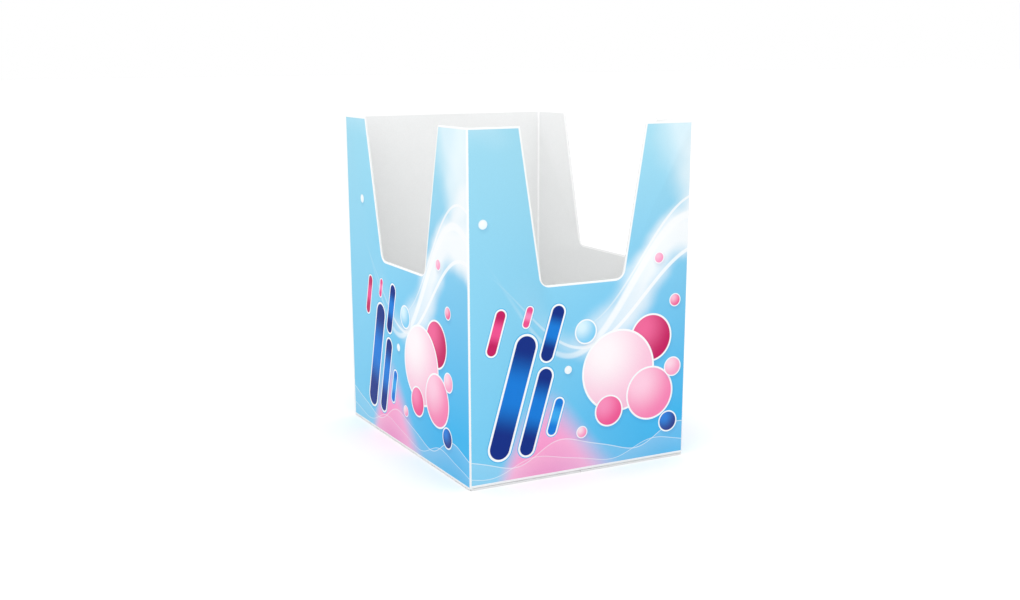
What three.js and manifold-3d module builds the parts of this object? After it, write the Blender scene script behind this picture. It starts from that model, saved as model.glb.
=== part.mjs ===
// Dump bin display: one die-cut sheet of corrugated board, printed outside and white inside,
// folded and glued into an open-topped bin.
// Millimetres, +Z up. The origin is the middle of the footprint, on the floor. The front wall
// faces -Y, the two side walls face -X and +X, and the plain full-height back wall faces +Y.
import * as THREE from "three";
import { mergeVertices } from "three/addons/utils/BufferGeometryUtils.js";
import Module from "manifold-3d";

// Outside size of the bin and its board
const BIN_WIDTH = 600; // front wall, along X
const BIN_DEPTH = 750; // side walls, along Y
const BIN_HEIGHT = 835;
const BOARD = 4;
const INSIDE_FOLD = 0.5; // radius inside a creased fold
const FOLD_STEPS = 6;

// Cut-outs in the front and side walls: straight slanted sides and a level sill
const FRONT_POST_TOP = 132; // wall left standing at each side of the cut-out, at the rim
const FRONT_POST_FOOT = 190; // the same, at the sill
const SIDE_POST_TOP = 150;
const SIDE_POST_FOOT = 242;
const FRONT_SILL = 470;
const SIDE_SILL = 474;
const SILL_RADIUS = 19;
const ARC_STEPS = 10;

// Glued lap that closes the sheet into a sleeve, inside the back wall at its -X end
const LAP_WIDTH = 38;
const LAP_TAPER = 9; // how much shorter the lap's free edge is at each end
const LAP_TOP_STEP = 8; // lap below the rim
const LAP_BASE_GAP = 6; // lap above the inner flaps
const SLEEVE_END_SETBACK = 1; // raw end of the back wall, inside the corner
const GLUE = 0.3; // thickness of a glue line
const LAP_GLUE_WIDTH = 22;
const LAP_GLUE_MARGIN = 20; // lap left unglued at each end

// Bottom flaps: the side walls' pair meets on the middle line, under the front and back pair
const FLAP_SEAM = 2; // between the outer flaps, where they meet
const OUTER_FLAP_SETBACK = 1.5; // raw ends of the outer flaps, inside the front and back faces
const INNER_FLAP_CLEARANCE = 2; // sides of the inner flaps, off the side walls
const FLAP_GLUE_WIDTH = 60;
const FLAP_GLUE_LENGTH = 180;

const OVERLAP = 0.1; // how far a glue line reaches into each board it joins
const CUT_ALLOWANCE = 10; // how far a cutter runs past the board

const SKY_BLUE = 0x8fd2f0;

const halfWidth = BIN_WIDTH / 2;
const halfDepth = BIN_DEPTH / 2;
const outsideFold = BOARD + INSIDE_FOLD;
const flapDepth = halfWidth - FLAP_SEAM / 2; // all four flaps end on one cut line of the sheet
const innerFlapBase = BOARD + GLUE;
const innerFlapTop = innerFlapBase + BOARD;
const lapTop = BIN_HEIGHT - LAP_TOP_STEP;
const lapFoot = innerFlapTop + LAP_BASE_GAP;
const lapFace = halfDepth - BOARD - GLUE; // face of the lap that is glued to the back wall

const wasm = await Module();
wasm.setup();

// A closed three.js geometry as a solid that can be cut and joined.
function solid(geometry) {
  geometry.deleteAttribute("normal");
  geometry.deleteAttribute("uv");
  const merged = mergeVertices(geometry, 1e-4);
  return new wasm.Manifold(
    new wasm.Mesh({
      numProp: 3,
      vertProperties: merged.attributes.position.array,
      triVerts: new Uint32Array(merged.index.array),
    }),
  );
}

// An outline pushed straight along its own normal, then turned into place.
function prism(outline, length, steps, place) {
  const geometry = new THREE.ExtrudeGeometry(outline, {
    depth: length,
    bevelEnabled: false,
    curveSegments: steps,
  });
  return solid(geometry.applyMatrix4(place));
}

// Outline drawn in X and Z, its zero at x, pushed along -Y from y.
function acrossDepth(y, x = 0) {
  return new THREE.Matrix4().set(1, 0, 0, x, 0, 0, -1, y, 0, 1, 0, 0, 0, 0, 0, 1);
}

// Outline drawn in Y and Z, its zero at y, pushed along +X from x.
function acrossWidth(x, y = 0) {
  return new THREE.Matrix4().set(0, 0, 1, x, 1, 0, 0, y, 0, 1, 0, 0, 0, 0, 0, 1);
}

// Outline drawn in X and Y, pushed up from z.
function upright(z) {
  return new THREE.Matrix4().makeTranslation(0, 0, z);
}

// A straight-sided block between two opposite corners.
function block(low, high) {
  const size = high.map((value, i) => value - low[i]);
  const middle = high.map((value, i) => (value + low[i]) / 2);
  return solid(new THREE.BoxGeometry(...size).translate(...middle));
}

// Plan of the sleeve: the sheet on edge, from the raw end of the back wall, round all four
// walls, to the lap that is folded in behind the back wall.
function sleevePlan() {
  const outside = outsideFold;
  const inside = INSIDE_FOLD;
  const endX = -halfWidth + SLEEVE_END_SETBACK;
  const lapX = -halfWidth + BOARD + LAP_WIDTH;
  const [right, left] = [halfWidth - outside, -halfWidth + outside];
  const [back, front] = [halfDepth - outside, -halfDepth + outside];
  const lapCentre = lapFace - outside;
  const plan = new THREE.Shape();
  plan.moveTo(endX, halfDepth);
  plan.absarc(right, back, outside, Math.PI / 2, 0, true);
  plan.absarc(right, front, outside, 0, -Math.PI / 2, true);
  plan.absarc(left, front, outside, -Math.PI / 2, -Math.PI, true);
  plan.absarc(left, lapCentre, outside, Math.PI, Math.PI / 2, true);
  plan.lineTo(lapX, lapFace);
  plan.lineTo(lapX, lapFace - BOARD);
  plan.absarc(left, lapCentre, inside, Math.PI / 2, Math.PI, false);
  plan.absarc(left, front, inside, -Math.PI, -Math.PI / 2, false);
  plan.absarc(right, front, inside, -Math.PI / 2, 0, false);
  plan.absarc(right, back, inside, 0, Math.PI / 2, false);
  plan.lineTo(endX, halfDepth - BOARD);
  plan.closePath();
  return plan;
}

// Cut-out of a wall that is wallLength long: a trapezium with its sill corners rounded, open
// at the rim.
function cutOut(wallLength, postTop, postFoot, sill) {
  const halfTop = wallLength / 2 - postTop;
  const halfFoot = wallLength / 2 - postFoot;
  const rise = BIN_HEIGHT - sill;
  const slant = Math.hypot(halfTop - halfFoot, rise);
  const sine = (halfTop - halfFoot) / slant;
  const cosine = rise / slant;
  const centreX = halfFoot - (SILL_RADIUS * (1 - sine)) / cosine;
  const centreZ = sill + SILL_RADIUS;
  const turn = Math.atan2(-sine, cosine);
  const openX = halfTop + (CUT_ALLOWANCE * sine) / cosine;
  const rim = BIN_HEIGHT + CUT_ALLOWANCE;
  const outline = new THREE.Shape();
  outline.moveTo(-centreX, sill);
  outline.absarc(centreX, centreZ, SILL_RADIUS, -Math.PI / 2, turn, false);
  outline.lineTo(openX, rim);
  outline.lineTo(-openX, rim);
  outline.absarc(-centreX, centreZ, SILL_RADIUS, Math.PI - turn, 1.5 * Math.PI, false);
  outline.closePath();
  return outline;
}

// Section of a bottom flap: a short length of its wall, the creased fold and the flap itself.
// The first axis runs inwards from the wall's outer face, the second one up from the floor.
function flapSection(base, wallTop) {
  const fold = base + outsideFold;
  const section = new THREE.Shape();
  section.moveTo(0, wallTop);
  section.absarc(outsideFold, fold, outsideFold, Math.PI, 1.5 * Math.PI, false);
  section.lineTo(flapDepth, base);
  section.lineTo(flapDepth, base + BOARD);
  section.absarc(outsideFold, fold, INSIDE_FOLD, 1.5 * Math.PI, Math.PI, true);
  section.lineTo(BOARD, wallTop);
  section.closePath();
  return section;
}

// Flat part of the left outer flap, which runs on past its crease under the other two walls.
function outerFlapFlat() {
  const end = halfDepth - OUTER_FLAP_SETBACK;
  return block([-halfWidth + outsideFold, -end, 0], [-halfWidth + flapDepth, end, BOARD]);
}

// The two flaps of one pair, each the other turned half a turn about the bin's middle.
function flapPair(section, length, place) {
  const flap = prism(section, length, FOLD_STEPS, place);
  return flap.add(flap.rotate([0, 0, 180]));
}

// The lap's two ends are cut off at a slant and kept clear of the rim and of the inner flaps.
function lapTrim() {
  const [low, high] = [-halfWidth + outsideFold, -halfWidth + BOARD + LAP_WIDTH];
  const far = high + CUT_ALLOWANCE;
  const slope = LAP_TAPER / (high - low);
  const drop = slope * (far - low);
  const upper = new THREE.Shape();
  upper.moveTo(low, BIN_HEIGHT + CUT_ALLOWANCE);
  upper.lineTo(low, lapTop);
  upper.lineTo(far, lapTop - drop);
  upper.lineTo(far, BIN_HEIGHT + CUT_ALLOWANCE);
  upper.closePath();
  const lower = new THREE.Shape();
  lower.moveTo(low, -CUT_ALLOWANCE);
  lower.lineTo(far, -CUT_ALLOWANCE);
  lower.lineTo(far, lapFoot + drop);
  lower.lineTo(low, lapFoot);
  lower.closePath();
  const depth = BOARD + CUT_ALLOWANCE;
  const place = acrossDepth(lapFace + GLUE / 2);
  return prism(upper, depth, 1, place).add(prism(lower, depth, 1, place));
}

// Glue line between the lap and the back wall.
function lapGlue() {
  const middle = -halfWidth + BOARD + LAP_WIDTH / 2;
  return block(
    [middle - LAP_GLUE_WIDTH / 2, lapFace - OVERLAP, lapFoot + LAP_GLUE_MARGIN],
    [middle + LAP_GLUE_WIDTH / 2, lapFace + GLUE + OVERLAP, lapTop - LAP_GLUE_MARGIN],
  );
}

// Four glue patches between the inner flaps and the outer flaps under them.
function flapGlue() {
  const x = halfWidth / 2;
  const y = halfDepth - flapDepth / 2;
  const patches = [-1, 1].flatMap((sideX) =>
    [-1, 1].map((sideY) =>
      block(
        [sideX * x - FLAP_GLUE_WIDTH / 2, sideY * y - FLAP_GLUE_LENGTH / 2, BOARD - OVERLAP],
        [sideX * x + FLAP_GLUE_WIDTH / 2, sideY * y + FLAP_GLUE_LENGTH / 2, innerFlapBase + OVERLAP],
      ),
    ),
  );
  return patches.reduce((all, patch) => all.add(patch));
}

// The folded sheet: sleeve, cut-outs, lap and the four bottom flaps.
function binBody() {
  const innerCrease = innerFlapBase + outsideFold;
  const joinUp = BOARD; // how far a flap's wall part runs up into its wall
  let body = prism(sleevePlan(), BIN_HEIGHT - outsideFold, FOLD_STEPS, upright(outsideFold));

  const cutDepth = BOARD + 2 * CUT_ALLOWANCE;
  const frontCut = cutOut(BIN_WIDTH, FRONT_POST_TOP, FRONT_POST_FOOT, FRONT_SILL);
  const sideCut = cutOut(BIN_DEPTH, SIDE_POST_TOP, SIDE_POST_FOOT, SIDE_SILL);
  const insideFront = -halfDepth + BOARD + CUT_ALLOWANCE;
  const outsideLeft = -halfWidth - CUT_ALLOWANCE;
  const insideRight = halfWidth - BOARD - CUT_ALLOWANCE;
  body = body
    .subtract(prism(frontCut, cutDepth, ARC_STEPS, acrossDepth(insideFront)))
    .subtract(prism(sideCut, cutDepth, ARC_STEPS, acrossWidth(outsideLeft)))
    .subtract(prism(sideCut, cutDepth, ARC_STEPS, acrossWidth(insideRight)))
    .subtract(lapTrim());

  const innerHalf = halfWidth - BOARD - INNER_FLAP_CLEARANCE;
  const outerHalf = halfDepth - outsideFold;
  const crease = block([-innerHalf, -halfDepth - 1, 0], [innerHalf, halfDepth + 1, innerCrease]);
  body = body.subtract(crease);
  const outerSection = flapSection(0, outsideFold + joinUp);
  const outerFlat = outerFlapFlat();
  const innerSection = flapSection(innerFlapBase, innerCrease + joinUp);
  return body
    .add(flapPair(outerSection, 2 * outerHalf, acrossDepth(outerHalf, -halfWidth)))
    .add(outerFlat)
    .add(outerFlat.rotate([0, 0, 180]))
    .add(flapPair(innerSection, 2 * innerHalf, acrossWidth(-innerHalf, -halfDepth)))
    .add(lapGlue())
    .add(flapGlue());
}

// A solid as a named mesh with its own material.
function piece(name, made, colour) {
  const mesh = made.getMesh();
  const geometry = new THREE.BufferGeometry();
  geometry.setAttribute("position", new THREE.BufferAttribute(mesh.vertProperties, 3));
  geometry.setIndex(new THREE.BufferAttribute(mesh.triVerts, 1));
  geometry.computeVertexNormals();
  const material = new THREE.MeshStandardMaterial({ color: colour, roughness: 0.55, metalness: 0 });
  const shown = new THREE.Mesh(geometry, material);
  shown.name = name;
  return shown;
}

const bin = new THREE.Group();
bin.add(piece("bin_body", binBody(), SKY_BLUE));

export default bin;
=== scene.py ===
"""Dump bin display: a die-cut, printed sheet of corrugated board, folded and glued into a bin."""
import math

import bmesh
import bpy
from mathutils import Matrix, Vector


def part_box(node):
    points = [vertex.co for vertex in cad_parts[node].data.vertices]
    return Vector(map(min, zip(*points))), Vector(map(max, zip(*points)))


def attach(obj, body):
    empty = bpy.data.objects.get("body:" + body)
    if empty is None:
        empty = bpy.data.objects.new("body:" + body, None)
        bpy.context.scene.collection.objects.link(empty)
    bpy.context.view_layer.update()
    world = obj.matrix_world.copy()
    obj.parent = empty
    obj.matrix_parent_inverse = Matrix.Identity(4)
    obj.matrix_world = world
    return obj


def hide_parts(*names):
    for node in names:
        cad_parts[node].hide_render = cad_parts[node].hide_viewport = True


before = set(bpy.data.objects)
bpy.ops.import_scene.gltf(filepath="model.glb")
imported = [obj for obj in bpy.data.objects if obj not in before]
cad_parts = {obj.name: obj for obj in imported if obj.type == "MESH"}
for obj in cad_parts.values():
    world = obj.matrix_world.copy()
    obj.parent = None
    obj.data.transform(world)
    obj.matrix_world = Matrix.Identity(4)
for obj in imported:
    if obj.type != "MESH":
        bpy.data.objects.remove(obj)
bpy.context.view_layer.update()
scene = bpy.context.scene
scene.view_settings.view_transform = "Standard"

# The sheet: one blank of 4 mm corrugated board, printed on its outer liner. It holds the glued lap,
# the four walls in the order left, front, right, back, and a flap under each wall. It is scored
# and die-cut flat, and then folded up around the front wall, which stays where it is.
bin_low, bin_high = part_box("bin_body")
half_width = (bin_high.x - bin_low.x) / 2
half_depth = (bin_high.y - bin_low.y) / 2
rim = bin_high.z
front_face = -half_depth

board = 0.004
inside_fold = 0.0005
outside_fold = board + inside_fold
fold_steps = 6
glue = 0.0003

front_post_top, front_post_foot, front_sill = 0.132, 0.190, 0.470
side_post_top, side_post_foot, side_sill = 0.150, 0.242, 0.474
sill_radius = 0.019
sill_steps = 10

lap_width = 0.038
lap_taper = 0.009
lap_top_step = 0.008
lap_base_gap = 0.006
sleeve_end_setback = 0.001
flap_seam = 0.002
outer_flap_setback = 0.0015
inner_flap_clearance = 0.002
slot = 0.0005
flap_depth = half_width - flap_seam / 2

score_turn = math.radians(90) / fold_steps
score_pitch = 2 * outside_fold * math.sin(score_turn / 2)
score_width = fold_steps * score_pitch

# Distances along the flat blank, measured from the middle of the front wall
front_end = half_width - outside_fold
right_start = front_end + score_width
right_end = right_start + 2 * (half_depth - outside_fold)
back_start = right_end + score_width
back_end = back_start + 2 * half_width - outside_fold - sleeve_end_setback
left_start = -front_end - score_width
lap_face = half_depth - board - glue
left_end = left_start - (lap_face - outside_fold + half_depth - outside_fold)
lap_start = left_end - score_width
lap_end = lap_start - (board + lap_width - outside_fold)

# Heights on the flat blank of the flaps' creases and ends, and of the lap's two ends
outer_crease = outside_fold
inner_crease = board + glue + outside_fold
outer_flap_end = outer_crease - score_width - (flap_depth - outside_fold)
inner_flap_end = inner_crease - score_width - (flap_depth - outside_fold)
lap_turn = lap_taper / (board + lap_width - outside_fold)
lap_top = rim - lap_top_step
lap_foot = 2 * board + glue + lap_base_gap

# How closely two places on the blank count as one, and the shift that keeps them apart
same = 1e-7
near = 1e-6
apart = 1e-5
anywhere = (-9, 9)


def faces_between(blank, along, up):
    """Faces of the flat blank whose middles lie in this range along it and up it."""
    found = []
    for face in blank.faces:
        middle = face.calc_center_median()
        if along[0] < middle.x < along[1] and up[0] < middle.z < up[1]:
            found.append(face)
    return found


def slit(blank, faces, place, normal):
    """Splits these faces of the flat blank along a straight line."""
    parts = set(faces)
    for face in faces:
        parts.update(face.edges)
        parts.update(face.verts)
    bmesh.ops.bisect_plane(blank, geom=list(parts), dist=same, plane_co=place, plane_no=normal)


def score_upright(blank, along, up=anywhere):
    """Scores or cuts the blank from bottom to top, through the faces in this range up it."""
    slit(blank, faces_between(blank, anywhere, up), (along, front_face, 0), (1, 0, 0))


def score_level(blank, height, along=anywhere):
    """Scores or cuts the blank from side to side, through the faces in this range along it."""
    slit(blank, faces_between(blank, along, anywhere), (0, front_face, height), (0, 0, 1))


def cut_out_outline(half_wall, post_top, post_foot, sill):
    """Points of a cut-out, down its left side, along the sill and up its right side."""
    half_top = half_wall - post_top
    half_foot = half_wall - post_foot
    slant = math.atan2(half_top - half_foot, rim - sill)
    middle = half_foot - sill_radius * (1 - math.sin(slant)) / math.cos(slant)
    right = []
    for step in range(sill_steps + 1):
        turn = -math.pi / 2 + (math.pi / 2 - slant) * step / sill_steps
        across = middle + sill_radius * math.cos(turn)
        right.append((across, sill + sill_radius * (1 + math.sin(turn))))
    right.append((half_top, rim))
    return [(-x, z) for x, z in reversed(right)] + right


def die_cut(blank, wall, centre, outline):
    """Cuts an opening out of a wall, one side of its outline after the other."""
    inside = max(faces_between(blank, wall, (0, rim)), key=lambda f: f.calc_area())
    for (x0, z0), (x1, z1) in zip(outline, outline[1:]):
        inward = Vector((z0 - z1, 0, x1 - x0)).normalized()
        place = Vector((centre + x0, front_face, z0))
        known = set(blank.faces)
        slit(blank, [inside], place, inward)
        pieces = [inside] + [face for face in blank.faces if face not in known]
        inside = max(pieces, key=lambda f: (f.calc_center_median() - place).dot(inward))
    bmesh.ops.delete(blank, geom=[inside], context="FACES")


def score_lines(first, way):
    """The score lines of one fold, from its first line, towards higher or lower values."""
    return [first + way * score_pitch * step for step in range(fold_steps + 1)]


def fold(blank, lines, way, beyond, axis, hinge):
    """Folds what lies beyond a scored crease through a right angle, one score line at a time."""
    last = len(lines) - 1
    for step, line in reversed(list(enumerate(lines))):
        turn = score_turn / 2 if step in (0, last) else score_turn
        moved = [v for v in blank.verts if beyond(v, line)]
        matrix = Matrix.Rotation(way * turn, 3, axis)
        bmesh.ops.rotate(blank, verts=moved, cent=hinge(line), matrix=matrix)


blank = bmesh.new()
corners = [(lap_end, outer_flap_end), (back_end, outer_flap_end), (back_end, rim), (lap_end, rim)]
blank.faces.new([blank.verts.new((x, front_face, z)) for x, z in corners])

scores = {
    "front_right": score_lines(front_end, 1),
    "right_back": score_lines(right_end, 1),
    "front_left": score_lines(-front_end, -1),
    "left_lap": score_lines(left_end, -1),
}
for lines in scores.values():
    for line in lines:
        score_upright(blank, line)

# Bottom flaps: each with its middle, half its length, its crease and its end. The outer pair runs on
# past its creases, under the other two walls. A slot parts each inner flap from the foot beside it.
walls = {
    "left": (left_end, left_start),
    "front": (-front_end, front_end),
    "right": (right_start, right_end),
    "back": (back_start, back_end),
}
outer_flaps = ("left", "right")
inner_flaps = ("front", "back")
half_outer_flap = half_depth - outer_flap_setback
half_inner_flap = half_width - board - inner_flap_clearance
run_on_reach = 0.010
left_middle = left_start - (half_depth - outside_fold)
right_middle = right_start + (half_depth - outside_fold)
back_middle = back_start + half_width - outside_fold
flaps = {
    "left": (left_middle, half_outer_flap, outer_crease, outer_flap_end),
    "front": (0.0, half_inner_flap, inner_crease, inner_flap_end),
    "right": (right_middle, half_outer_flap, outer_crease, outer_flap_end),
    "back": (back_middle, half_inner_flap, inner_crease, inner_flap_end),
}


def in_flap(at, name):
    """Whether a place below the outer crease belongs to this flap."""
    middle, half_length, crease, end = flaps[name]
    low, high = walls[name]
    runs_on = name in outer_flaps and at.z < crease - score_width
    return (runs_on or low < at.x < high) and abs(at.x - middle) < half_length and at.z > end


def in_slot(at, name):
    """Whether a place lies in the slot beside an inner flap."""
    middle, half_length, crease, _ = flaps[name]
    return outer_crease < at.z < crease and half_length < abs(at.x - middle) < half_length + slot


score_level(blank, outer_crease)
for name, (middle, half_length, crease, end) in flaps.items():
    low, high = walls[name]
    for line in score_lines(crease, -1):
        score_level(blank, line, (low, high))
    cut_from = crease
    if name in outer_flaps:
        low, high = low - run_on_reach, high + run_on_reach
        cut_from = crease - score_width
        score_level(blank, cut_from, (low, high))
    else:
        for edge in (middle - half_length - slot, middle + half_length + slot):
            score_upright(blank, edge, (-1, cut_from))
    score_level(blank, end, (low, high))
    for edge in (middle - half_length, middle + half_length):
        score_upright(blank, edge, (-1, cut_from))
waste = []
for face in blank.faces:
    at = face.calc_center_median()
    below = at.z < outer_crease and not any(in_flap(at, name) for name in flaps)
    if below or any(in_slot(at, name) for name in inner_flaps):
        waste.append(face)
bmesh.ops.delete(blank, geom=waste, context="FACES")

# Glued lap: cut short of the rim and of the flaps, its ends tapered
for height, slope in ((lap_top, lap_turn), (lap_foot, -lap_turn)):
    lap_faces = faces_between(blank, (lap_end, lap_start), anywhere)
    slit(blank, lap_faces, (lap_start, front_face, height), (-slope, 0, 1))
waste = []
for face in faces_between(blank, (lap_end, lap_start), anywhere):
    at = face.calc_center_median()
    fall = (lap_start - at.x) * lap_turn
    if at.z > lap_top - fall or at.z < lap_foot + fall:
        waste.append(face)
bmesh.ops.delete(blank, geom=waste, context="FACES")

# Access cut-outs in three walls, open at the rim, their sill corners rounded
front_outline = cut_out_outline(half_width, front_post_top, front_post_foot, front_sill)
side_outline = cut_out_outline(half_depth, side_post_top, side_post_foot, side_sill)
die_cut(blank, walls["front"], 0.0, front_outline)
die_cut(blank, walls["left"], left_middle, side_outline)
die_cut(blank, walls["right"], right_middle, side_outline)

# Each vertex keeps its flat place, which says what a fold carries. The ends of the outer flaps that
# run on count as part of their own wall.
along_layer = blank.verts.layers.float.new("along")
up_layer = blank.verts.layers.float.new("up")
for vert in blank.verts:
    vert[along_layer] = vert.co.x
    vert[up_layer] = vert.co.z
    for name in outer_flaps:
        middle, half_length, crease, _ = flaps[name]
        low, high = walls[name]
        past_crease = vert.co.z < crease - score_width + near
        if past_crease and abs(vert.co.x - middle) < half_length + near:
            vert[along_layer] = min(max(vert.co.x, low + apart), high - apart)

# Print register: each wall's own sheet coordinates, across from its middle and up from the floor
register = blank.loops.layers.uv.new("register")
for face in blank.faces:
    at = face.calc_center_median().x
    if at < -front_end - score_width / 2:
        middle = left_middle
    elif at < front_end + score_width / 2:
        middle = 0.0
    elif at < right_end + score_width / 2:
        middle = right_middle
    else:
        middle = back_middle
    for loop in face.loops:
        loop[register].uv = (loop.vert.co.x - middle, loop.vert.co.z)

# Folding: the flaps first, then the lap and the walls, from the ends of the blank inwards
for middle, half_length, crease, _ in flaps.values():
    low, high = middle - half_length - near, middle + half_length + near
    fold(
        blank,
        score_lines(crease, -1),
        1,
        lambda v, line: low < v[along_layer] < high and v[up_layer] < line - same,
        "X",
        lambda line: (0, front_face, line),
    )
for name, way in (("left_lap", -1), ("front_left", -1), ("right_back", 1), ("front_right", 1)):
    fold(
        blank,
        scores[name],
        way,
        lambda v, line: (v[along_layer] - line) * way > same,
        "Z",
        lambda line: (line, front_face, 0),
    )

sheet_mesh = bpy.data.meshes.new("printed_bin")
blank.to_mesh(sheet_mesh)
blank.free()
printed_bin = bpy.data.objects.new("printed_bin", sheet_mesh)
scene.collection.objects.link(printed_bin)

# Thickness: the board lies inside the printed face, and its cut edges are a little crushed
crushed_edge = 0.0002
thickness = printed_bin.modifiers.new("board", "SOLIDIFY")
thickness.thickness = board
thickness.offset = -1
thickness.use_even_offset = True
thickness.use_quality_normals = True
thickness.material_offset = 1
thickness.material_offset_rim = 2
cut_edge = printed_bin.modifiers.new("cut_edge", "BEVEL")
cut_edge.width = crushed_edge
cut_edge.segments = 2
cut_edge.limit_method = "ANGLE"
cut_edge.angle_limit = math.radians(50)
cut_edge.use_clamp_overlap = False


def ink(red, green, blue):
    """A printed colour, from its value on screen to the shader's own scale."""
    channels = []
    for value in (red, green, blue):
        share = value / 255
        channels.append(share / 12.92 if share <= 0.04045 else ((share + 0.055) / 1.055) ** 2.4)
    return (*channels, 1.0)


def flat(across, up):
    """A place on the sheet, from millimetres to metres."""
    return (across / 1000, up / 1000, 0)


class Nodes:
    """A material's or a group's node tree, with its nodes set and joined in one call each."""

    def __init__(self, tree):
        self.tree = tree

    def add(self, kind, values=None, **settings):
        node = self.tree.nodes.new(kind)
        for name, value in settings.items():
            setattr(node, name, value)
        for name, value in (values or {}).items():
            self.put(node.inputs[name], value)
        return node

    def put(self, socket, value):
        if isinstance(value, bpy.types.NodeSocket):
            self.tree.links.new(value, socket)
        else:
            socket.default_value = value

    def calc(self, operation, *values, clamp=False):
        numbered = dict(enumerate(values))
        node = self.add("ShaderNodeMath", numbered, operation=operation, use_clamp=clamp)
        return node.outputs[0]

    def total(self, *values):
        result = values[0]
        for value in values[1:]:
            result = self.calc("ADD", result, value)
        return result

    def product(self, *values):
        result = values[0]
        for value in values[1:]:
            result = self.calc("MULTIPLY", result, value)
        return result

    def point(self, operation, *values, out=0):
        numbered = dict(enumerate(values))
        return self.add("ShaderNodeVectorMath", numbered, operation=operation).outputs[out]

    def sized(self, vector, size):
        values = {0: vector, "Scale": size}
        return self.add("ShaderNodeVectorMath", values, operation="SCALE").outputs[0]

    def parts(self, vector):
        return self.add("ShaderNodeSeparateXYZ", {0: vector}).outputs

    def noise(self, place, size, detail, out=0, **more):
        values = {"Vector": place, "Scale": size, "Detail": detail, **more}
        return self.add("ShaderNodeTexNoise", values).outputs[out]

    def scale(self, value, low, high, to_low=0.0, to_high=1.0, smooth=True):
        kind = "SMOOTHSTEP" if smooth else "LINEAR"
        values = {"Value": value, "From Min": low, "From Max": high, "To Min": to_low, "To Max": to_high}
        return self.add("ShaderNodeMapRange", values, interpolation_type=kind).outputs[0]

    def within(self, distance, edge, blur):
        """1 where the distance is under the edge and 0 past it, with a blur between."""
        low = self.calc("SUBTRACT", edge, blur)
        high = self.calc("ADD", edge, blur)
        return self.scale(distance, low, high, 1.0, 0.0)

    def mix(self, share, under, over, blend="MIX"):
        node = self.add("ShaderNodeMix", data_type="RGBA", blend_type=blend)
        for socket, value in ((0, share), (6, under), (7, over)):
            self.put(node.inputs[socket], value)
        return node.outputs[2]

    def shaded(self, colour, tone):
        """A colour made darker by a tone from 0 to 1."""
        grey = self.add("ShaderNodeCombineColor", {0: tone, 1: tone, 2: tone}).outputs[0]
        return self.mix(1.0, colour, grey, "MULTIPLY")

    def choose(self, share, under, over):
        values = {0: share, 2: under, 3: over}
        return self.add("ShaderNodeMix", values, data_type="FLOAT").outputs[0]

    def group(self, tree, values):
        return self.add("ShaderNodeGroup", values, node_tree=tree).outputs[0]


def new_group(name, inputs, output, kind):
    """An empty node group with named sockets, its nodes and its inputs."""
    tree = bpy.data.node_groups.new(name, "ShaderNodeTree")
    for label, sort in inputs.items():
        tree.interface.new_socket(label, in_out="INPUT", socket_type="NodeSocket" + sort)
    tree.interface.new_socket(output, in_out="OUTPUT", socket_type="NodeSocket" + kind)
    n = Nodes(tree)
    return tree, n, n.add("NodeGroupInput").outputs


def new_material(name):
    """An empty material and its nodes."""
    material = bpy.data.materials.new(name)
    material.use_nodes = True
    material.node_tree.nodes.clear()
    return material, Nodes(material.node_tree)


def from_bar(n, given):
    """Distance from the middle line of a bar, and the share of its length at the nearest point."""
    reach = n.point("SUBTRACT", given["To"], given["From"])
    offset = n.point("SUBTRACT", given["Place"], given["From"])
    length = n.calc("MAXIMUM", n.point("DOT_PRODUCT", reach, reach, out=1), 1e-9)
    share = n.calc("DIVIDE", n.point("DOT_PRODUCT", offset, reach, out=1), length, clamp=True)
    away = n.point("LENGTH", n.point("SUBTRACT", offset, n.sized(reach, share)), out=1)
    return away, share


def soft_light_group():
    """Soft light in the print, round a line between two points."""
    sockets = {"Place": "Vector", "From": "Vector", "To": "Vector", "Radius": "Float", "Blur": "Float"}
    tree, n, given = new_group("soft_light", sockets, "Mask", "Float")
    away, _ = from_bar(n, given)
    n.add("NodeGroupOutput", {"Mask": n.within(away, given["Radius"], given["Blur"])})
    return tree


def keyed_bar_group():
    """A printed bar with round ends and a white keyline, its ink lighter towards the middle."""
    sockets = {"Ground": "Color", "Place": "Vector", "From": "Vector", "To": "Vector", "Radius": "Float",
               "Keyline": "Float", "End Ink": "Color", "Middle Ink": "Color"}
    tree, n, given = new_group("keyed_bar", sockets, "Colour", "Color")
    away, share = from_bar(n, given)
    turn = n.product(n.calc("ABSOLUTE", n.calc("SUBTRACT", share, 0.55)), 2.2)
    fill = n.mix(n.scale(turn, 0.15, 0.95, 1.0, 0.0), given["End Ink"], given["Middle Ink"])
    key = n.calc("ADD", given["Radius"], given["Keyline"])
    outer = n.calc("ADD", key, n.product(given["Keyline"], 0.45))
    colour = n.mix(n.within(away, outer, print_edge), given["Ground"], outline_blue)
    colour = n.mix(n.within(away, key, print_edge), colour, white)
    colour = n.mix(n.within(away, given["Radius"], print_edge), colour, fill)
    n.add("NodeGroupOutput", {"Colour": colour})
    return tree


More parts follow.
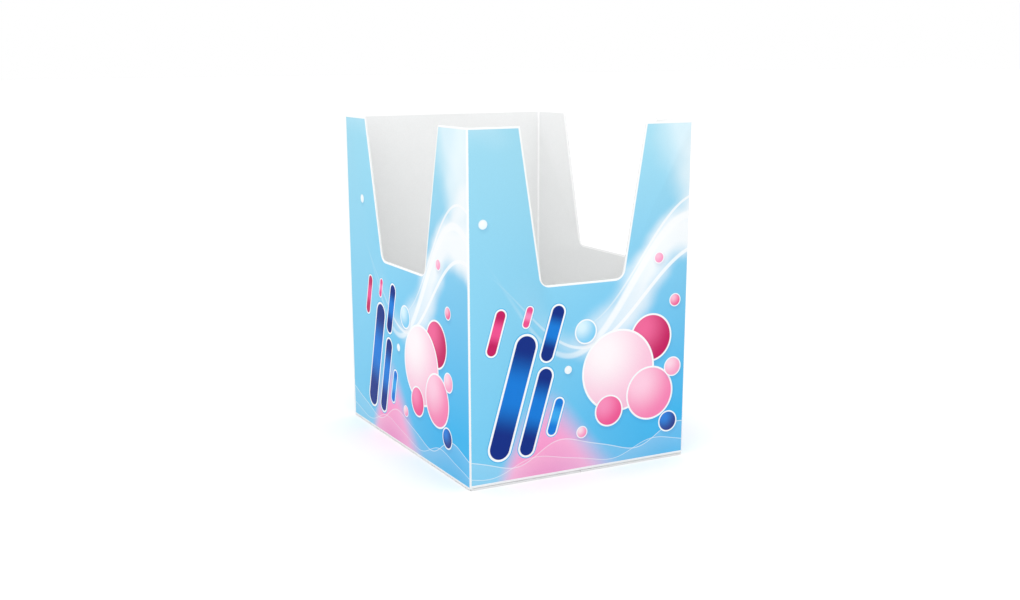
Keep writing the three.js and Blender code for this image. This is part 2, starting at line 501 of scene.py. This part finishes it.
def keyed_disc_group():
    """A printed disc, lighter towards its upper left, with a keyline and a soft shade below."""
    sockets = {"Ground": "Color", "Place": "Vector", "Centre": "Vector", "Radius": "Float",
               "Keyline": "Float", "Cover": "Float", "Light Ink": "Color", "Deep Ink": "Color"}
    tree, n, given = new_group("keyed_disc", sockets, "Colour", "Color")
    offset = n.point("SUBTRACT", given["Place"], given["Centre"])
    away = n.point("LENGTH", offset, out=1)
    highlight = n.sized((-0.45, 0.5, 0), given["Radius"])
    lit = n.calc("DIVIDE", n.point("LENGTH", n.point("SUBTRACT", offset, highlight), out=1), given["Radius"])
    fill = n.mix(n.scale(lit, 0.1, 1.6), given["Light Ink"], given["Deep Ink"])
    drop = n.point("LENGTH", n.point("SUBTRACT", offset, (0.002, -0.006, 0)), out=1)
    key = n.calc("ADD", given["Radius"], given["Keyline"])
    shade = n.product(n.within(drop, key, 0.009), 0.22)
    colour = n.mix(n.product(shade, given["Cover"]), given["Ground"], shade_blue)
    colour = n.mix(n.product(n.within(away, key, print_edge), given["Cover"]), colour, white)
    inner = n.within(away, given["Radius"], print_edge)
    colour = n.mix(n.product(inner, given["Cover"]), colour, fill)
    n.add("NodeGroupOutput", {"Colour": colour})
    return tree


def rolling_wave_group():
    """A printed wave that runs on round the folds: its ink below a rolling line."""
    sockets = {"Ground": "Color", "Across": "Float", "Up": "Float", "Level": "Float", "Rise": "Float",
               "Turns": "Float", "Start": "Float", "Blur": "Float", "Keyline": "Float", "Depth": "Float",
               "Cover": "Float", "Top Ink": "Color", "Foot Ink": "Color"}
    tree, n, given = new_group("rolling_wave", sockets, "Colour", "Color")
    turn = n.calc("ADD", n.product(given["Across"], given["Turns"], turn_per_wall), given["Start"])
    ripple = n.product(n.calc("SINE", n.product(turn, 2.0)), 0.22)
    roll = n.calc("ADD", n.calc("SINE", turn), ripple)
    line = n.calc("ADD", given["Level"], n.product(roll, given["Rise"]))
    over = n.calc("SUBTRACT", given["Up"], line)
    sunk = n.calc("DIVIDE", n.product(over, -1.0), given["Depth"], clamp=True)
    fill = n.mix(sunk, given["Top Ink"], given["Foot Ink"])
    below = n.product(n.within(over, 0.0, given["Blur"]), given["Cover"])
    colour = n.mix(below, given["Ground"], fill)
    key = n.within(n.calc("ABSOLUTE", over), n.product(given["Keyline"], 0.5), print_edge)
    key = n.product(key, n.calc("GREATER_THAN", given["Keyline"], 0.0))
    n.add("NodeGroupOutput", {"Colour": n.mix(n.product(key, 0.55), colour, white)})
    return tree


def rolling_ribbon_group():
    """A soft printed ribbon along a rolling line, wider and stronger from one side to the other."""
    sockets = {"Ground": "Color", "Across": "Float", "Up": "Float", "Level": "Float", "Rise": "Float",
               "Start": "Float", "Begin": "Float", "End": "Float", "Half Width": "Float", "Blur": "Float",
               "Cover": "Float", "Ink": "Color"}
    tree, n, given = new_group("rolling_ribbon", sockets, "Colour", "Color")
    turn = n.calc("ADD", n.product(given["Across"], turn_per_wall), given["Start"])
    line = n.calc("ADD", given["Level"], n.product(n.calc("SINE", turn), given["Rise"]))
    slope = n.product(n.calc("COSINE", turn), given["Rise"], turn_per_wall)
    stretch = n.calc("SQRT", n.calc("ADD", n.product(slope, slope), 1.0))
    away = n.calc("DIVIDE", n.calc("ABSOLUTE", n.calc("SUBTRACT", given["Up"], line)), stretch)
    share = n.scale(given["Across"], given["Begin"], given["End"])
    half = n.product(given["Half Width"], n.scale(share, 0.0, 1.0, 0.3, 1.0, smooth=False))
    mask = n.product(n.within(away, half, given["Blur"]), given["Cover"], share)
    n.add("NodeGroupOutput", {"Colour": n.mix(mask, given["Ground"], given["Ink"])})
    return tree


def cut_out_distance_group():
    """Distance from a wall's cut-out, in sheet coordinates, for its unprinted margin."""
    sockets = {name: "Float" for name in ("Across", "Up", "Half Foot", "Sill", "Cosine", "Sine")}
    tree, n, given = new_group("cut_out_distance", sockets, "Distance", "Float")
    out = n.calc("SUBTRACT", n.calc("ABSOLUTE", given["Across"]), given["Half Foot"])
    above = n.calc("SUBTRACT", given["Up"], given["Sill"])
    side = n.calc("SUBTRACT", n.product(out, given["Cosine"]), n.product(above, given["Sine"]))
    below = n.product(above, -1.0)
    side = n.calc("MAXIMUM", n.calc("ADD", side, sill_radius), 0.0)
    below = n.calc("MAXIMUM", n.calc("ADD", below, sill_radius), 0.0)
    squares = n.calc("ADD", n.product(side, side), n.product(below, below))
    n.add("NodeGroupOutput", {"Distance": n.calc("SUBTRACT", n.calc("SQRT", squares), sill_radius)})
    return tree


def board_relief_group():
    """Height of the board's face: flutes show faintly through the liner, under the paper's fibre."""
    sockets = {"Across": "Float", "Place": "Vector", "Flutes": "Float"}
    tree, n, given = new_group("board_relief", sockets, "Height", "Float")
    flutes = n.calc("SINE", n.product(given["Across"], turn_per_flute))
    height = n.total(
        n.product(flutes, given["Flutes"]),
        n.product(n.noise(given["Place"], 420.0, 4.0), 0.00002),
        n.product(n.noise(given["Place"], 6.0, 2.0), 0.0008),
    )
    n.add("NodeGroupOutput", {"Height": height})
    return tree


def cut_edge_distance(n, across, up, on_side, on_back):
    """Distance from a wall's nearest cut edge, at its cut-out or its rim."""
    distances = []
    for half_wall, post_top, post_foot, sill in (
        (half_width, front_post_top, front_post_foot, front_sill),
        (half_depth, side_post_top, side_post_foot, side_sill),
    ):
        slant = math.atan2(post_foot - post_top, rim - sill)
        values = {"Across": across, "Up": up, "Half Foot": half_wall - post_foot, "Sill": sill,
                  "Cosine": math.cos(slant), "Sine": math.sin(slant)}
        distances.append(n.group(cut_out_distance, values))
    to_cut = n.calc("ADD", n.choose(on_side, *distances), on_back)
    return n.calc("MINIMUM", to_cut, n.calc("SUBTRACT", rim, up))


def from_faces(n, solid, inset):
    """Distances inwards from the side faces and from the front or back face, less an inset."""
    x, y, _ = n.parts(solid)
    from_side = n.calc("SUBTRACT", half_width - inset, n.calc("ABSOLUTE", x))
    from_front = n.calc("SUBTRACT", half_depth - inset, n.calc("ABSOLUTE", y))
    return from_side, from_front


# Inks, and what the print and the board's relief have in common
white = ink(251, 253, 254)
mist = ink(238, 249, 253)
outline_blue = ink(70, 180, 232)
shade_blue = ink(40, 110, 175)
light_blue = ink(150, 214, 246)
bright_blue = ink(18, 124, 218)
navy = ink(8, 44, 132)
pink = ink(252, 140, 190)
pale_rose = ink(255, 190, 215)
rose = ink(240, 82, 145)
crimson = ink(196, 30, 96)
print_edge = 0.0006
turn_per_wall = 2 * math.pi / right_middle
flute_pitch = 0.0079
turn_per_flute = 2 * math.pi / flute_pitch
back_reach = 0.001

soft_light = soft_light_group()
keyed_bar = keyed_bar_group()
keyed_disc = keyed_disc_group()
rolling_wave = rolling_wave_group()
rolling_ribbon = rolling_ribbon_group()
cut_out_distance = cut_out_distance_group()
board_relief = board_relief_group()

# Outer liner: white paper, printed in glossy blues, pinks and white. The front and side walls carry
# the same artwork, placed from the middle of each wall's foot. The back wall has its ground only.
printed, n = new_material("printed_liner")
place = n.add("ShaderNodeUVMap", uv_map="register").outputs[0]
across, up, _ = n.parts(place)
solid = n.add("ShaderNodeTexCoord").outputs["Object"]
solid_x, solid_y, _ = n.parts(solid)
from_side, from_front = from_faces(n, solid, 0.0)
from_fold = n.calc("MAXIMUM", from_side, from_front)
on_side = n.calc("LESS_THAN", from_side, from_front)
on_back = n.calc("GREATER_THAN", solid_y, half_depth - back_reach)

# Ground: a sky gradient, deeper at the foot and to the right, with soft light drifting over it
ground_across = n.scale(across, -0.32, 0.32)
ground_up = n.scale(up, 0.12, 0.86, smooth=False)
ground_foot = n.mix(ground_across, ink(122, 206, 243), ink(66, 182, 237))
ground_top = n.mix(ground_across, ink(159, 217, 237), ink(168, 222, 239))
colour = n.mix(ground_up, ground_foot, ground_top)
drift = n.noise(place, 4.5, 3.0, out="Color", Roughness=0.45)
drifted = n.point("ADD", place, n.sized(n.point("SUBTRACT", drift, (0.5, 0.5, 0.5)), 0.16))

# Soft light: where its line starts and ends, radius and blur in millimetres, and strength
lights = [
    ((250, 830), (330, 760), 40, 90, 0.8),
    ((355, 850), (390, 620), 60, 85, 0.97),
    ((-300, 850), (-240, 850), 5, 70, 0.3),
]
for start, end, radius, blur, strength in lights:
    values = {"Place": drifted, "From": flat(*start), "To": flat(*end), "Radius": radius / 1000,
              "Blur": blur / 1000}
    colour = n.mix(n.product(n.group(soft_light, values), strength), colour, mist)

# Waves along the foot: level and rise in millimetres, turns from one wall's middle to the next, and
# start in radians; blur, keyline and depth in millimetres; cover, and the inks at top and foot
waves = [
    (-34, 192, 1, 2.15, 66, 0, 170, 0.97, ink(255, 176, 218), ink(255, 138, 196)),
    (66, 24, 2, 2.2, 0.8, 2.2, 80, 0.12, white, light_blue),
    (40, 17, 2, 3.5, 0.8, 1.6, 60, 0.08, white, light_blue),
]
for level, rise, turns, start, blur, keyline, depth, cover, top_ink, foot_ink in waves:
    values = {"Ground": colour, "Across": across, "Up": up, "Level": level / 1000, "Rise": rise / 1000,
              "Turns": float(turns), "Start": start, "Blur": blur / 1000, "Keyline": keyline / 1000,
              "Depth": depth / 1000, "Cover": cover, "Top Ink": top_ink, "Foot Ink": foot_ink}
    colour = n.group(rolling_wave, values)
plain_ground = colour

# Ribbons that dip under the opening and climb the right post: level and rise in millimetres, start
# in radians; where they begin and end growing, half width and blur in millimetres; cover, and
# whether they drift with the light
ribbons = [
    (458, 135, -1.42, -230, 240, 48, 32, 0.92, True),
    (590, 95, -2.2, -40, 300, 26, 26, 0.75, True),
    (454, 158, -1.28, -280, 160, 9, 3.5, 0.85, False),
    (424, 112, -1.62, -280, 120, 4.5, 1.5, 0.85, False),
    (512, 150, -1.5, -60, 220, 3, 1.2, 0.8, False),
]
drifted_across, drifted_up, _ = n.parts(drifted)
for level, rise, start, begin, end, half, blur, cover, drifts in ribbons:
    values = {"Ground": colour, "Across": drifted_across if drifts else across,
              "Up": drifted_up if drifts else up, "Level": level / 1000, "Rise": rise / 1000,
              "Start": start, "Begin": begin / 1000, "End": end / 1000, "Half Width": half / 1000,
              "Blur": blur / 1000, "Cover": cover, "Ink": white}
    colour = n.group(rolling_ribbon, values)

# Rounded bars that rise to the right: ends, radius and keyline in millimetres, and their two inks
bars = [
    ((-222, 92), (-152, 330), 26, 5.5, navy, bright_blue),
    ((-150, 84), (-100, 254), 18, 5, navy, bright_blue),
    ((-96, 306), (-66, 404), 16, 4.5, navy, bright_blue),
    ((-242, 330), (-218, 410), 12, 4, crimson, rose),
    ((-82, 118), (-62, 184), 11, 4, bright_blue, ink(60, 170, 240)),
    ((-152, 384), (-142, 416), 8, 3, rose, pink),
]
for start, end, radius, keyline, end_ink, middle_ink in bars:
    values = {"Ground": colour, "Place": place, "From": flat(*start), "To": flat(*end),
              "Radius": radius / 1000, "Keyline": keyline / 1000, "End Ink": end_ink,
              "Middle Ink": middle_ink}
    colour = n.group(keyed_bar, values)

# Discs, one over the other: centre, radius and keyline in millimetres, cover, and their two inks
discs = [
    ((196, 316), 56, 4.5, 1.0, ink(240, 105, 155), crimson),
    ((104, 244), 98, 5, 1.0, ink(255, 247, 250), ink(251, 196, 220)),
    ((196, 176), 64, 4.5, 0.98, ink(255, 205, 226), ink(247, 128, 178)),
    ((78, 146), 36, 4, 0.98, ink(250, 140, 186), rose),
    ((10, 350), 27, 3.5, 0.95, ink(216, 243, 253), ink(120, 204, 243)),
    ((262, 236), 22, 3, 0.97, ink(255, 214, 230), ink(250, 160, 198)),
    ((252, 96), 24, 3.5, 0.97, bright_blue, navy),
    ((2, 102), 13, 2.5, 0.95, ink(255, 225, 236), pink),
    ((264, 404), 14, 2.5, 0.95, pale_rose, rose),
    ((-38, 262), 8, 2, 0.9, white, mist),
    ((214, 512), 12, 2.5, 0.9, pale_rose, pink),
    ((-262, 622), 9, 2, 0.8, white, mist),
]
for centre, radius, keyline, cover, light_ink, deep_ink in discs:
    values = {"Ground": colour, "Place": place, "Centre": flat(*centre), "Radius": radius / 1000,
              "Keyline": keyline / 1000, "Cover": cover, "Light Ink": light_ink, "Deep Ink": deep_ink}
    colour = n.group(keyed_disc, values)
colour = n.mix(on_back, colour, plain_ground)

# Bare liner: the flaps, and a margin along each cut edge, above each flap's crease and before the
# lap. Along the folds a pale line with a ragged edge is a painted highlight.
margin_width = 0.0045
margin_blur = 0.0003
foot_margin = 0.0035
lap_margin = 0.004
fold_highlight_width = 0.0038
fold_highlight_ragged_depth = 0.0016
on_left = n.calc("LESS_THAN", solid_x, outside_fold - half_width)
bare_from = lap_face - outside_fold - lap_margin + margin_width
to_rear = n.total(n.calc("SUBTRACT", bare_from, solid_y), n.calc("SUBTRACT", 1.0, on_left))
bare_below = foot_margin - margin_width
to_foot = n.calc("SUBTRACT", up, n.choose(on_side, inner_crease + bare_below, outer_crease + bare_below))
to_edge = n.calc(
    "MINIMUM", cut_edge_distance(n, across, up, on_side, on_back), n.calc("MINIMUM", to_foot, to_rear)
)
margin = n.within(to_edge, margin_width, margin_blur)
# Painted highlight along each fold: the pale bare liner colour, its edge made ragged by noise
fold_highlight_ragged = n.calc("SUBTRACT", n.noise(solid, 900.0, 3.0), 0.5)
fold_highlight_reach = n.calc("ADD", from_fold, n.product(fold_highlight_ragged, fold_highlight_ragged_depth))
painted_fold_highlight = n.within(fold_highlight_reach, fold_highlight_width, margin_blur)
bare_and_fold_highlight = n.calc("MAXIMUM", margin, painted_fold_highlight)
colour = n.mix(bare_and_fold_highlight, colour, ink(249, 250, 250))

# Paper and flutes under the ink
fibre = n.noise(solid, 420.0, 4.0)
colour = n.shaded(colour, n.scale(fibre, 0.3, 0.7, 0.985, 1.0))
height = n.group(board_relief, {"Across": across, "Place": solid, "Flutes": 0.000012})
relief = n.add("ShaderNodeBump", {"Height": height, "Strength": 0.5, "Distance": 1.0})
gloss = n.total(n.scale(fibre, 0.3, 0.7, 0.5, 0.6), n.product(bare_and_fold_highlight, 0.25))
surface = n.add(
    "ShaderNodeBsdfPrincipled",
    {"Base Color": colour, "Roughness": gloss, "Normal": relief.outputs[0], "Specular IOR Level": 0.13},
)
n.add("ShaderNodeOutputMaterial", {"Surface": surface.outputs[0]})

# Inner liner: uncoated off-white paper, pressed in along the scores and cut edges. A paler band along
# the scores is a painted highlight, and the paper is paler along the cut edges too.
score_band_width = 0.0038
pressed_cut = 0.0055
pressed_blur = 0.0006
pressed_depth = 0.0003
inner_liner, n = new_material("inner_liner")
solid = n.add("ShaderNodeTexCoord").outputs["Object"]
across, up, _ = n.parts(n.add("ShaderNodeUVMap", uv_map="register").outputs[0])
_, solid_y, _ = n.parts(solid)
from_side, from_front = from_faces(n, solid, board)
on_side = n.calc("LESS_THAN", from_side, from_front)
on_back = n.calc("GREATER_THAN", solid_y, half_depth - board - back_reach)
score_press_and_highlight = n.within(n.calc("MAXIMUM", from_side, from_front), score_band_width, pressed_blur)
to_cut = cut_edge_distance(n, across, up, on_side, on_back)
cut_line = n.within(to_cut, pressed_cut, pressed_blur)
pressed_and_highlight = n.calc("MAXIMUM", score_press_and_highlight, cut_line)
fibre = n.noise(solid, 300.0, 5.0)
fleck = n.noise(solid, 55.0, 6.0, Roughness=0.7)
tone = n.product(n.scale(fibre, 0.3, 0.7, 0.98, 1.0), n.scale(fleck, 0.25, 0.75, 0.985, 1.0))
# Paler paper along the scores is painted highlight; it is paler along the cut edges as well
colour = n.shaded(n.mix(pressed_and_highlight, ink(239, 240, 240), ink(254, 254, 254)), tone)
height = n.group(board_relief, {"Across": across, "Place": solid, "Flutes": 0.00003})
height = n.calc("SUBTRACT", height, n.product(pressed_and_highlight, pressed_depth))
relief = n.add("ShaderNodeBump", {"Height": height, "Strength": 0.5, "Distance": 1.0})
surface = n.add(
    "ShaderNodeBsdfPrincipled",
    {"Base Color": colour, "Roughness": n.scale(fibre, 0.3, 0.7, 0.8, 0.9),
     "Normal": relief.outputs[0], "Specular IOR Level": 0.25},
)
n.add("ShaderNodeOutputMaterial", {"Surface": surface.outputs[0]})

# Cut edges: two liners with the fluted medium between them, and painted shade in its hollows
liner_thickness = 0.0005
medium_half = 0.00028
medium_blur = 0.00012
flute_reach = board / 2 - 0.00055
cut_board, n = new_material("cut_board")
solid = n.add("ShaderNodeTexCoord").outputs["Object"]
across, _, _ = n.parts(n.add("ShaderNodeUVMap", uv_map="register").outputs[0])
from_middle = n.calc("SUBTRACT", n.calc("MINIMUM", *from_faces(n, solid, 0.0)), board / 2)
wave = n.product(n.calc("SINE", n.product(across, turn_per_flute)), flute_reach)
medium = n.within(n.calc("ABSOLUTE", n.calc("SUBTRACT", from_middle, wave)), medium_half, medium_blur)
liner = n.calc("GREATER_THAN", n.calc("ABSOLUTE", from_middle), board / 2 - liner_thickness)
paper = n.calc("MAXIMUM", medium, liner)
fibre = n.noise(solid, 500.0, 5.0)
tone = n.scale(fibre, 0.3, 0.7, 0.97, 1.0)
# The hollows between liners and medium take a darker grey: painted shade
colour = n.shaded(n.mix(paper, ink(234, 235, 236), ink(252, 252, 252)), tone)
height = n.calc("ADD", n.product(paper, 0.0003), n.product(fibre, 0.00008))
relief = n.add("ShaderNodeBump", {"Height": height, "Strength": 0.4, "Distance": 1.0})
surface = n.add(
    "ShaderNodeBsdfPrincipled",
    {"Base Color": colour, "Roughness": n.scale(fibre, 0.3, 0.7, 0.85, 0.95),
     "Normal": relief.outputs[0], "Specular IOR Level": 0.2},
)
n.add("ShaderNodeOutputMaterial", {"Surface": surface.outputs[0]})

for material in (printed, inner_liner, cut_board):
    sheet_mesh.materials.append(material)

evaluated = printed_bin.evaluated_get(bpy.context.evaluated_depsgraph_get())
finished = bpy.data.meshes.new_from_object(evaluated)
printed_bin.modifiers.clear()
printed_bin.data = finished
finished.shade_smooth()
finished.set_sharp_from_angle(angle=math.radians(25))
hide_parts("bin_body")
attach(printed_bin, "root")


def seen_ray(n):
    """1 for a ray that the camera, a reflection or a clear material sees by, and 0 otherwise."""
    ray = n.add("ShaderNodeLightPath").outputs
    mirrored = n.calc("MAXIMUM", ray["Is Glossy Ray"], ray["Is Transmission Ray"])
    return n.calc("MAXIMUM", ray["Is Camera Ray"], mirrored)


# Studio: a white floor and surround that keep the bin's shadow. The floor lies just below the
# flaps, so that the two don't share a plane.
floor_drop = 0.0002
floor = bmesh.new()
bmesh.ops.create_grid(floor, x_segments=1, y_segments=1, size=60)
bmesh.ops.translate(floor, verts=floor.verts, vec=(0, 0, -floor_drop))
floor_mesh = bpy.data.meshes.new("studio_floor")
floor.to_mesh(floor_mesh)
floor.free()
studio_floor = bpy.data.objects.new("studio_floor", floor_mesh)
scene.collection.objects.link(studio_floor)
floor_material, n = new_material("studio_floor")
floor_colour = n.mix(seen_ray(n), (0.6, 0.6, 0.6, 1), (0.96, 0.96, 0.96, 1))
floor_surface = n.add("ShaderNodeBsdfPrincipled", {"Base Color": floor_colour, "Roughness": 0.9})
n.add("ShaderNodeOutputMaterial", {"Surface": floor_surface.outputs[0]})
floor_mesh.materials.append(floor_material)

world = bpy.data.worlds.new("studio")
scene.world = world
world.use_nodes = True
world.node_tree.nodes.clear()
n = Nodes(world.node_tree)
lit = n.add("ShaderNodeBackground", {"Color": (1, 1, 1, 1), "Strength": 1.05})
shown = n.add("ShaderNodeBackground", {"Color": (1, 1, 1, 1), "Strength": 1.0})
both = n.add("ShaderNodeMixShader", {0: seen_ray(n), 1: lit.outputs[0], 2: shown.outputs[0]})
n.add("ShaderNodeOutputWorld", {"Surface": both.outputs[0]})


def wide_lamp(name, come_from, spread, strength):
    """A far, wide studio light, so that the floor is lit evenly."""
    lamp = bpy.data.lights.new(name, "SUN")
    lamp.angle = math.radians(spread)
    lamp.energy = strength
    obj = bpy.data.objects.new(name, lamp)
    obj.rotation_euler = (-Vector(come_from)).to_track_quat("-Z", "Y").to_euler()
    scene.collection.objects.link(obj)


wide_lamp("key", (-1.1, -1.0, 0.55), 50, 0.3)
wide_lamp("top", (-0.15, -0.25, 1.0), 60, 0.6)

# Camera, solved from the photograph in widths of the front wall. The lens's centre isn't at the
# middle of the picture, so the sensor is shifted.
picture_width, picture_height = 1020, 600
lens_pixels = 1259.2
lens_centre = (495, 375)
front_width = 2 * half_width
place = Vector((-2.52835, -4.80110, 1.64328)) * front_width
aim = Vector((-0.0691, 0.0, 0.2773)) * front_width
roll = math.radians(-0.307)
camera_data = bpy.data.cameras.new("camera")
camera = bpy.data.objects.new("camera", camera_data)
scene.collection.objects.link(camera)
scene.camera = camera
camera_data.sensor_width = 36
camera_data.lens = lens_pixels / picture_width * camera_data.sensor_width
camera_data.shift_x = (picture_width / 2 - lens_centre[0]) / picture_width
camera_data.shift_y = (lens_centre[1] - picture_height / 2) / picture_width
camera.location = place
look = (aim - place).to_track_quat("-Z", "Y")
camera.rotation_euler = (look @ Matrix.Rotation(roll, 3, "Z").to_quaternion()).to_euler()
